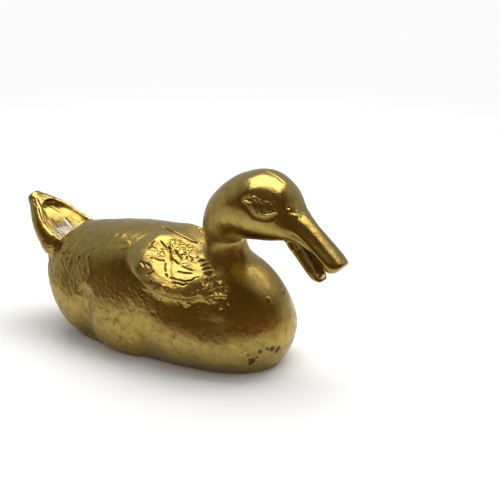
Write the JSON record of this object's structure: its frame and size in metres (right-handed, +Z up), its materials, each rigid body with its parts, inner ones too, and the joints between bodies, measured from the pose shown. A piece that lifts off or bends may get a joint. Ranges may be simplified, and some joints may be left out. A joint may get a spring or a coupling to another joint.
{
  "type": "duck figurine",
  "caption": "Sitting duck ornament in cast brass: hollow halves brazed together, open bill, upturned cupped tail and a flat belly to stand on.",
  "frame": {"origin": "on the floor under the middle of the overall length, on the middle plane of the duck", "axes": "+X towards the bill, +Y to the duck's left, +Z up"},
  "size_m": [0.1138, 0.042, 0.0609],
  "materials": {
    "cast_brass": "polished and hand worn, a little darkened in the hollows",
    "braze_brass": "filed and polished with the castings",
    "tail_solder": "pale, left rough in the hollow of the tail"
  },
  "bodies": {
    "root": {"body_right_half": "cast_brass", "body_left_half": "cast_brass", "head_right_half": "cast_brass", "head_left_half": "cast_brass", "tail_fan": "cast_brass", "body_seam_braze": "braze_brass", "head_seam_braze": "braze_brass", "neck_joint_braze": "braze_brass", "tail_joint_solder": "tail_solder"}
  },
  "joints": []
}
